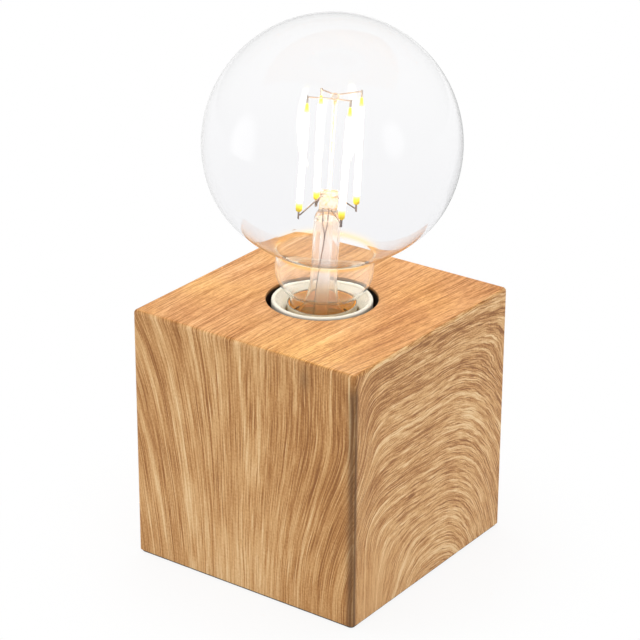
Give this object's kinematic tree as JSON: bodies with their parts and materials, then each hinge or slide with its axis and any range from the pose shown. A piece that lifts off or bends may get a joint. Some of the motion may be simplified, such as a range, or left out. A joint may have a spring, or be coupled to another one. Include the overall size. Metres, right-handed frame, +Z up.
{
  "type": "bare bulb table lamp",
  "caption": "Cube-shaped wooden table lamp with a sunk screw lampholder in its top and a clear globe filament bulb that screws in and out.",
  "frame": {"origin": "centre of the face the lamp stands on", "axes": "+Z up along the lampholder's axis, -Y to the front, +Y to the back where the cable inlet is"},
  "size_m": [0.1002, 0.1016, 0.2091],
  "materials": {
    "wood_veneer": "straight and cathedral light oak grain, satin lacquer",
    "raw_wood": "sawn softwood, unfinished",
    "zinc_steel": "zinc plated sheet",
    "pad_felt": "dark pressed felt",
    "screw_steel": "zinc plated",
    "black_plastic": "moulded, fine texture",
    "holder_plastic": "cream moulding, glossy lip",
    "porcelain": "unglazed steatite",
    "sleeve_brass": "bright rolled",
    "solder": "dull solder",
    "cap_nickel": "nickel plated, rolled thread",
    "black_glass": "fused black glass",
    "cement": "matt grey-cream cement",
    "board_laminate": "white solder mask",
    "component_sleeve": "moulded black",
    "clear_glass": "clear blown glass",
    "support_wire": "drawn nickel-iron wire",
    "copper_wire": "copper-clad lead wire",
    "phosphor": "yellow phosphor coating, lit warm white"
  },
  "bodies": {
    "lamp_base": {"top_board": "wood_veneer", "front_board": "wood_veneer", "back_board": "wood_veneer", "left_board": "wood_veneer", "right_board": "wood_veneer", "corner_blocks": "raw_wood", "base_plate": "zinc_steel", "base_pad": "pad_felt", "base_screws": "screw_steel", "cable_bush": "black_plastic", "lampholder_skirt": "holder_plastic", "lampholder_dome": "holder_plastic", "contact_block": "porcelain", "thread_sleeve": "sleeve_brass", "sleeve_rivets": "sleeve_brass", "centre_contact": "sleeve_brass", "terminals": "sleeve_brass", "terminal_screws": "screw_steel", "threaded_nipple": "zinc_steel", "lock_nut": "zinc_steel", "toothed_washer": "zinc_steel", "holder_bracket": "zinc_steel", "bracket_screws": "screw_steel"},
    "bulb_carrier": {"tip_contact": "solder"},
    "bulb": {"screw_cap": "cap_nickel", "cap_insulator": "black_glass", "cap_cement": "cement", "driver_board": "board_laminate", "driver_capacitor": "component_sleeve", "driver_chip": "component_sleeve", "driver_resistor": "component_sleeve", "bulb_glass": "clear_glass", "glass_stem": "clear_glass", "exhaust_tube": "clear_glass", "centre_rod": "clear_glass", "top_support_wires": "support_wire", "foot_support_wires": "support_wire", "lead_wires": "copper_wire", "filament_tabs": "support_wire", "led_filament_1": "phosphor", "led_filament_2": "phosphor", "led_filament_3": "phosphor", "led_filament_4": "phosphor"}
  },
  "joints": [
    {"name": "bulb_lift", "type": "slide", "parent": "lamp_base", "child": "bulb_carrier", "axis": [0, 0, 1], "range_m": [0, 0.01815]},
    {"name": "bulb_turn", "type": "hinge", "parent": "bulb_carrier", "child": "bulb", "pos_m": [0, 0, 0.0725], "axis": [0, 0, 1], "range_deg": [0, 1800]}
  ],
  "couplings": [
    {"joint": "bulb_lift", "follows": "bulb_turn", "m_per_rad": 0.00057757}
  ]
}
